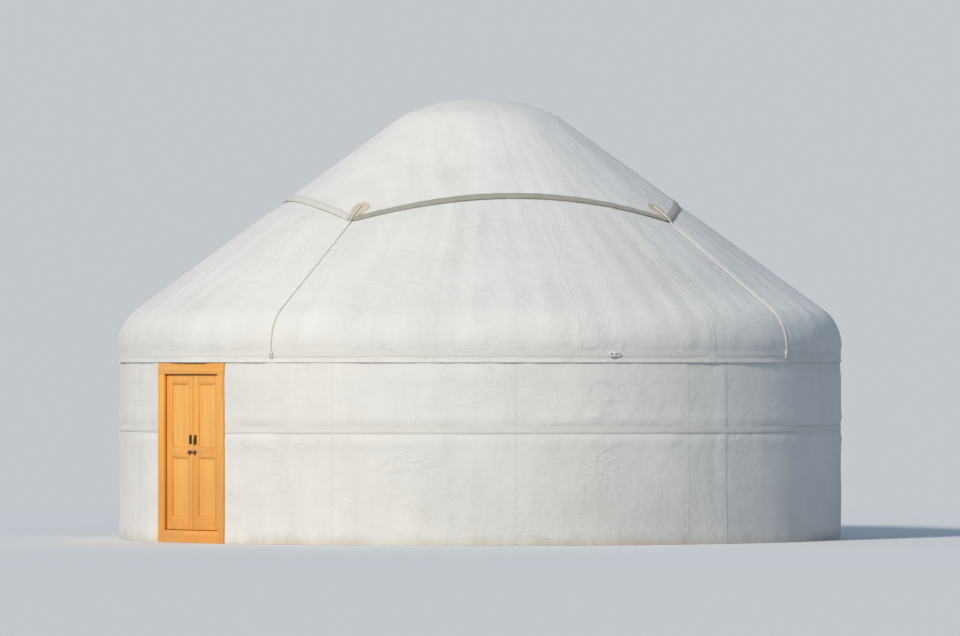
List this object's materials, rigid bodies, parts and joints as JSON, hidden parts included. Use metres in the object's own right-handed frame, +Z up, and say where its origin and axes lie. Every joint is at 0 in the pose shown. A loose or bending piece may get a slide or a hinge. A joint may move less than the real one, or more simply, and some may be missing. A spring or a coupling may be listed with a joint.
{
  "type": "felt yurt with a lattice wall",
  "caption": "Round white felt and canvas tent with a lattice wall, bent roof poles, a crown wheel and a two-leaf wooden door.",
  "frame": {"origin": "on the ground at the centre of the yurt, under the crown", "axes": "+Z up, the door faces -Y, +X to the right of someone who faces the door from outside"},
  "size_m": [6.0086, 6.0086, 3.6683],
  "materials": {
    "canvas": "matt cotton canvas",
    "crown_cloth": "matt quilted canvas",
    "felt": "pressed wool",
    "woven_band": "woven wool",
    "rope": "twisted hair rope",
    "lattice_wood": "oiled willow",
    "painted_wood": "red ochre paint on wood",
    "door_wood": "orange varnish",
    "door_panel_wood": "orange varnish",
    "knob_wood": "dark turned wood"
  },
  "bodies": {
    "house": {"door_threshold": "door_wood", "door_jamb_left": "door_wood", "door_jamb_right": "door_wood", "door_lintel": "door_wood", "lattice_1": "lattice_wood", "lattice_2": "lattice_wood", "lattice_3": "lattice_wood", "lattice_4": "lattice_wood", "lattice_5": "lattice_wood", "lattice_6": "lattice_wood", "roof_poles_1": "painted_wood", "roof_poles_2": "painted_wood", "roof_poles_3": "painted_wood", "roof_poles_4": "painted_wood", "roof_poles_5": "painted_wood", "roof_poles_6": "painted_wood", "roof_poles_door": "painted_wood", "crown_ring": "painted_wood", "crown_bars_lower": "painted_wood", "crown_bars_upper": "painted_wood", "wall_felt_1": "felt", "wall_felt_2": "felt", "wall_felt_3": "felt", "wall_felt_4": "felt", "roof_felt_front": "felt", "roof_felt_back": "felt", "wall_canvas_1": "canvas", "wall_canvas_2": "canvas", "wall_canvas_3": "canvas", "wall_canvas_4": "canvas", "roof_canvas_front": "canvas", "roof_canvas_back": "canvas", "crown_cover": "crown_cloth", "upper_band": "woven_band", "lower_band": "woven_band", "crown_ties": "rope"},
    "left_leaf": {"door_leaf_left": "door_wood", "door_panels_left": "door_panel_wood", "door_knob_left": "knob_wood"},
    "right_leaf": {"door_leaf_right": "door_wood", "door_panels_right": "door_panel_wood", "door_knob_right": "knob_wood"}
  },
  "joints": [
    {"name": "left_hinge", "type": "hinge", "parent": "house", "child": "left_leaf", "pos_m": [-0.357, -2.94, 0.755], "axis": [0, 0, 1], "range_deg": [0, 90]},
    {"name": "right_hinge", "type": "hinge", "parent": "house", "child": "right_leaf", "pos_m": [0.357, -2.94, 0.755], "axis": [0, 0, -1], "range_deg": [0, 90]}
  ]
}
